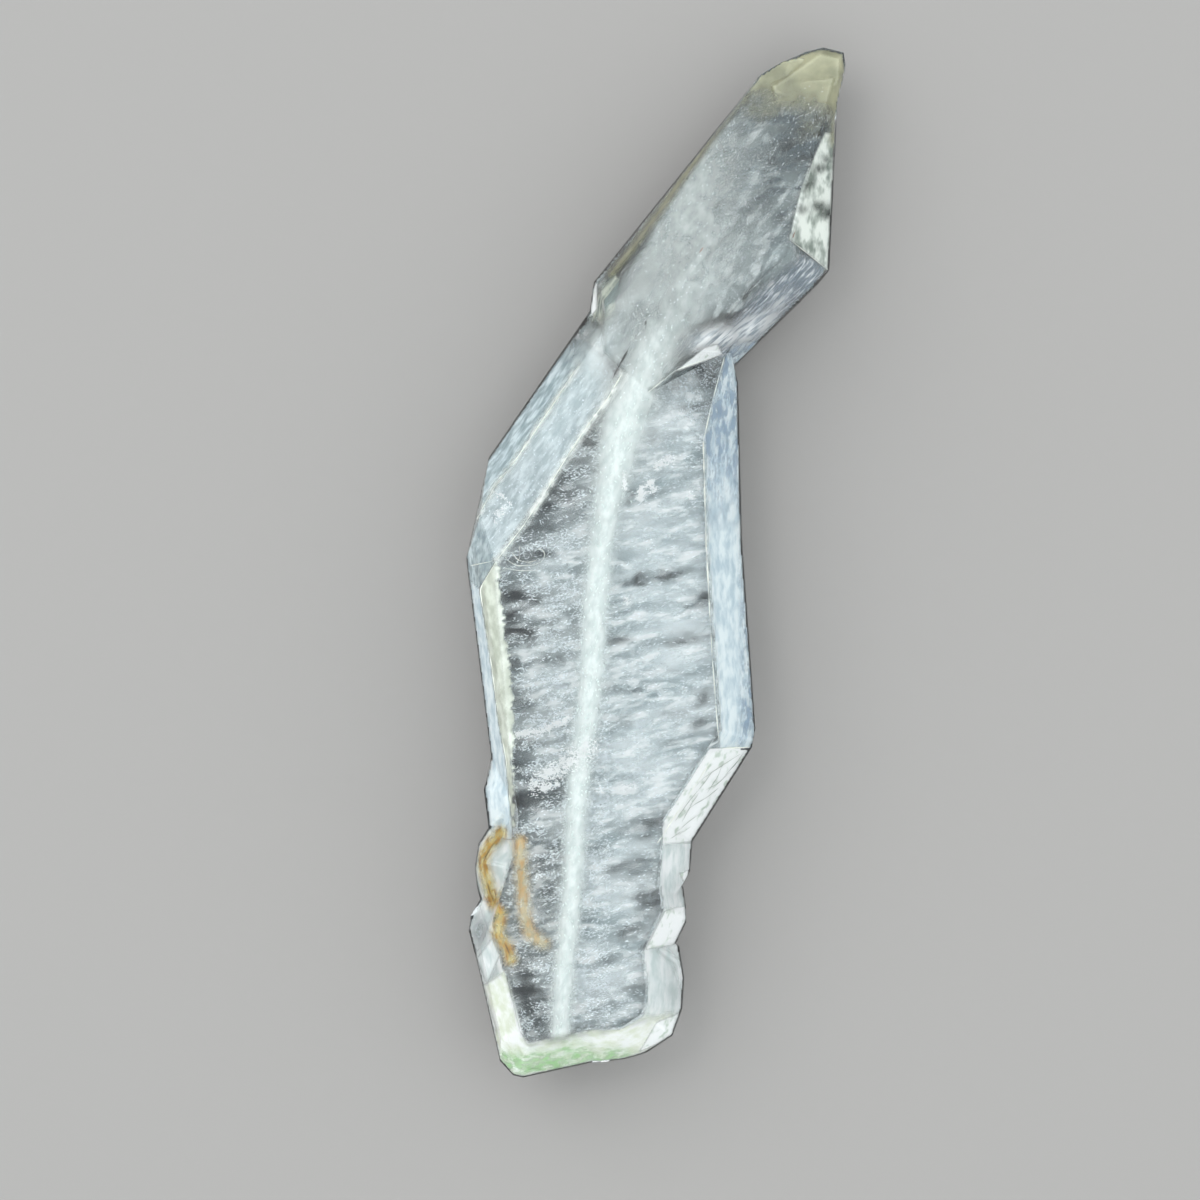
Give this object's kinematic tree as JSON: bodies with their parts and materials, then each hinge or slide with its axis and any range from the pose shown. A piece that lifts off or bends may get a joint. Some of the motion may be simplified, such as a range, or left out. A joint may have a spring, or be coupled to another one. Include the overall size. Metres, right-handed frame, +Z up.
{
  "type": "faden quartz crystal",
  "caption": "Flattened clear quartz crystal with a white growth thread, lying on its broad back face",
  "frame": {"origin": "under the middle of the crystal's box, on the surface it lies on", "axes": "+Y along the blade towards the thin broken tip, +Z up out of the broad front face, +X across the blade to the right as the front face is seen"},
  "size_m": [0.022, 0.06, 0.0083],
  "materials": {
    "clear_quartz": "natural crystal faces, glossy and clear, with milky veils and a white thread inside"
  },
  "bodies": {
    "root": {"crystal": "clear_quartz"}
  },
  "joints": []
}
